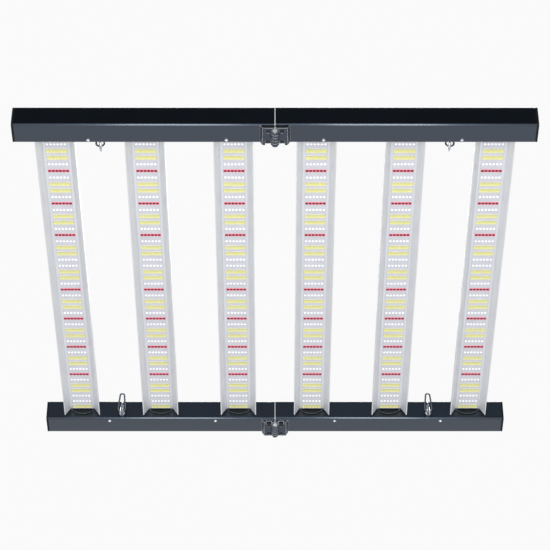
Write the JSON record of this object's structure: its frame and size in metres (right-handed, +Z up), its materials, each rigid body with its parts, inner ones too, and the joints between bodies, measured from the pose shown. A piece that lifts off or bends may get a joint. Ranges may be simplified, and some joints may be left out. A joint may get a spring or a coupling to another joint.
{
  "type": "led grow light",
  "caption": "Foldable LED grow light: two hinged black end beams carry parallel aluminium bars of white, yellow and red LEDs, with steel links to hang it by.",
  "frame": {"origin": "centre of the open light, level with the lowest point of the hinge barrels", "axes": "+X along the end beams, +Y along the LED bars away from the viewer, +Z up, LEDs facing -Z"},
  "size_m": [1.09, 1.038, 0.09],
  "materials": {
    "beam_coat": "satin black powder coat on extruded aluminium",
    "end_cap": "moulded black plastic end cap",
    "fold_plate": "dark satin coat on the plate that closes a beam at the fold",
    "black_rubber": "black seal rubber",
    "bright_steel": "bright zinc-plated steel",
    "zinc_steel": "plain zinc-plated steel",
    "bracket_coat": "dark satin coat on pressed steel",
    "bar_aluminium": "natural anodised extruded aluminium",
    "board_white": "white solder mask on an aluminium-core board",
    "led_phosphor": "LED packages: yellow phosphor, clear white and deep red rows",
    "thermal_pad": "grey thermal pad",
    "hinge_metal": "dark satin coat on a die-cast hinge leaf, rubbed bright along its edges",
    "dark_steel": "blackened steel screw",
    "link_steel": "zinc-plated steel wire link",
    "driver_case": "grey anodised driver case",
    "gland_plastic": "black nylon cable gland",
    "lead_jacket": "white silicone-jacketed lead"
  },
  "bodies": {
    "left_half": {"near_beam_left": "beam_coat", "far_beam_left": "beam_coat", "outer_caps_left": "end_cap", "inner_caps_left": "fold_plate", "cap_gaskets_left": "black_rubber", "cap_screws_left": "bright_steel", "bar_1": "bar_aluminium", "bar_2": "bar_aluminium", "bar_3": "bar_aluminium", "led_board_1": "board_white", "led_board_2": "board_white", "led_board_3": "board_white", "led_rows_1": "led_phosphor", "led_rows_2": "led_phosphor", "led_rows_3": "led_phosphor", "thermal_pads_left": "thermal_pad", "bar_brackets_left": "bracket_coat", "bracket_screws_left": "zinc_steel", "hinge_leaves_left": "hinge_metal", "hinge_pins": "bright_steel", "hinge_screws_left": "dark_steel", "hanging_eyes_left": "bright_steel", "eye_nuts_left": "zinc_steel", "drivers_left": "driver_case", "driver_screws_left": "bright_steel", "cable_gland_left": "gland_plastic", "lead_grommets_left": "black_rubber", "board_leads_left": "lead_jacket"},
    "right_half": {"near_beam_right": "beam_coat", "far_beam_right": "beam_coat", "outer_caps_right": "end_cap", "inner_caps_right": "fold_plate", "cap_gaskets_right": "black_rubber", "cap_screws_right": "bright_steel", "bar_4": "bar_aluminium", "bar_5": "bar_aluminium", "bar_6": "bar_aluminium", "led_board_4": "board_white", "led_board_5": "board_white", "led_board_6": "board_white", "led_rows_4": "led_phosphor", "led_rows_5": "led_phosphor", "led_rows_6": "led_phosphor", "thermal_pads_right": "thermal_pad", "bar_brackets_right": "bracket_coat", "bracket_screws_right": "zinc_steel", "hinge_leaves_right": "hinge_metal", "hinge_screws_right": "dark_steel", "hanging_eyes_right": "bright_steel", "eye_nuts_right": "zinc_steel", "drivers_right": "driver_case", "driver_screws_right": "bright_steel", "cable_gland_right": "gland_plastic", "lead_grommets_right": "black_rubber", "board_leads_right": "lead_jacket"},
    "link_near_left": {"link_near_left": "link_steel"},
    "link_far_left": {"link_far_left": "link_steel"},
    "link_near_right": {"link_near_right": "link_steel"},
    "link_far_right": {"link_far_right": "link_steel"}
  },
  "joints": [
    {"name": "fold", "type": "hinge", "parent": "left_half", "child": "right_half", "pos_m": [0, 0, 0.007], "axis": [0, 1, 0], "range_deg": [0, 180]},
    {"name": "link_near_left_swing", "type": "hinge", "parent": "left_half", "child": "link_near_left", "pos_m": [-0.365, -0.4475, 0.035], "axis": [1, 0, 0], "range_deg": [-90, 23]},
    {"name": "link_far_left_swing", "type": "hinge", "parent": "left_half", "child": "link_far_left", "pos_m": [-0.365, 0.4475, 0.035], "axis": [1, 0, 0], "range_deg": [-23, 90]},
    {"name": "link_near_right_swing", "type": "hinge", "parent": "right_half", "child": "link_near_right", "pos_m": [0.365, -0.4475, 0.035], "axis": [1, 0, 0], "range_deg": [-90, 23]},
    {"name": "link_far_right_swing", "type": "hinge", "parent": "right_half", "child": "link_far_right", "pos_m": [0.365, 0.4475, 0.035], "axis": [1, 0, 0], "range_deg": [-23, 90]}
  ]
}
